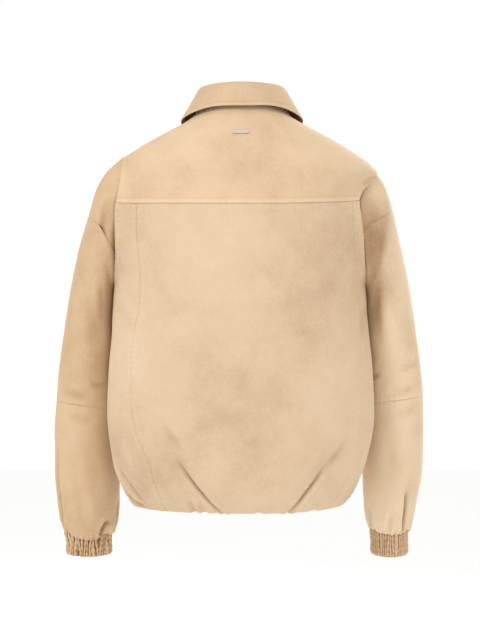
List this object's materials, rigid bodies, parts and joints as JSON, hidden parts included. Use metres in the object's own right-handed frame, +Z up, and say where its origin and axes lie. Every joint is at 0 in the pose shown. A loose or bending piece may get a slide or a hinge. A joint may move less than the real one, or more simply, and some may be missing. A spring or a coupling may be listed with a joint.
{
  "type": "suede jacket",
  "caption": "Loose hip-length suede jacket in its worn hollow form, with a turned-down collar, back yoke, bloused hem and gathered elastic cuffs.",
  "frame": {"origin": "middle of the neck base, where the wearer's neck and shoulders hold the jacket", "axes": "+Z up, the front of the jacket faces -Y, the wearer's left is +X"},
  "size_m": [0.569, 0.2805, 0.7143],
  "materials": {
    "suede": "soft napped suede",
    "zip_tape": "woven tape",
    "metal": "brushed"
  },
  "bodies": {
    "jacket": {"back": "suede", "back_side_left": "suede", "back_side_right": "suede", "yoke": "suede", "front_left": "suede", "front_right": "suede", "sleeve_cap_left": "suede", "sleeve_upper_left": "suede", "sleeve_lower_left": "suede", "sleeve_cap_right": "suede", "sleeve_upper_right": "suede", "sleeve_lower_right": "suede", "cuff_left": "suede", "cuff_right": "suede", "hem_band": "suede", "collar_stand": "suede", "collar_leaf": "suede", "zip": "zip_tape", "zip_slider": "metal", "neck_bar": "metal"},
    "pull_tab": {"zip_pull": "metal"}
  },
  "joints": [
    {"name": "pull_hinge", "type": "hinge", "parent": "jacket", "child": "pull_tab", "pos_m": [0, -0.0916, -0.0606], "axis": [-1, 0, 0], "range_deg": [0, 150]}
  ]
}
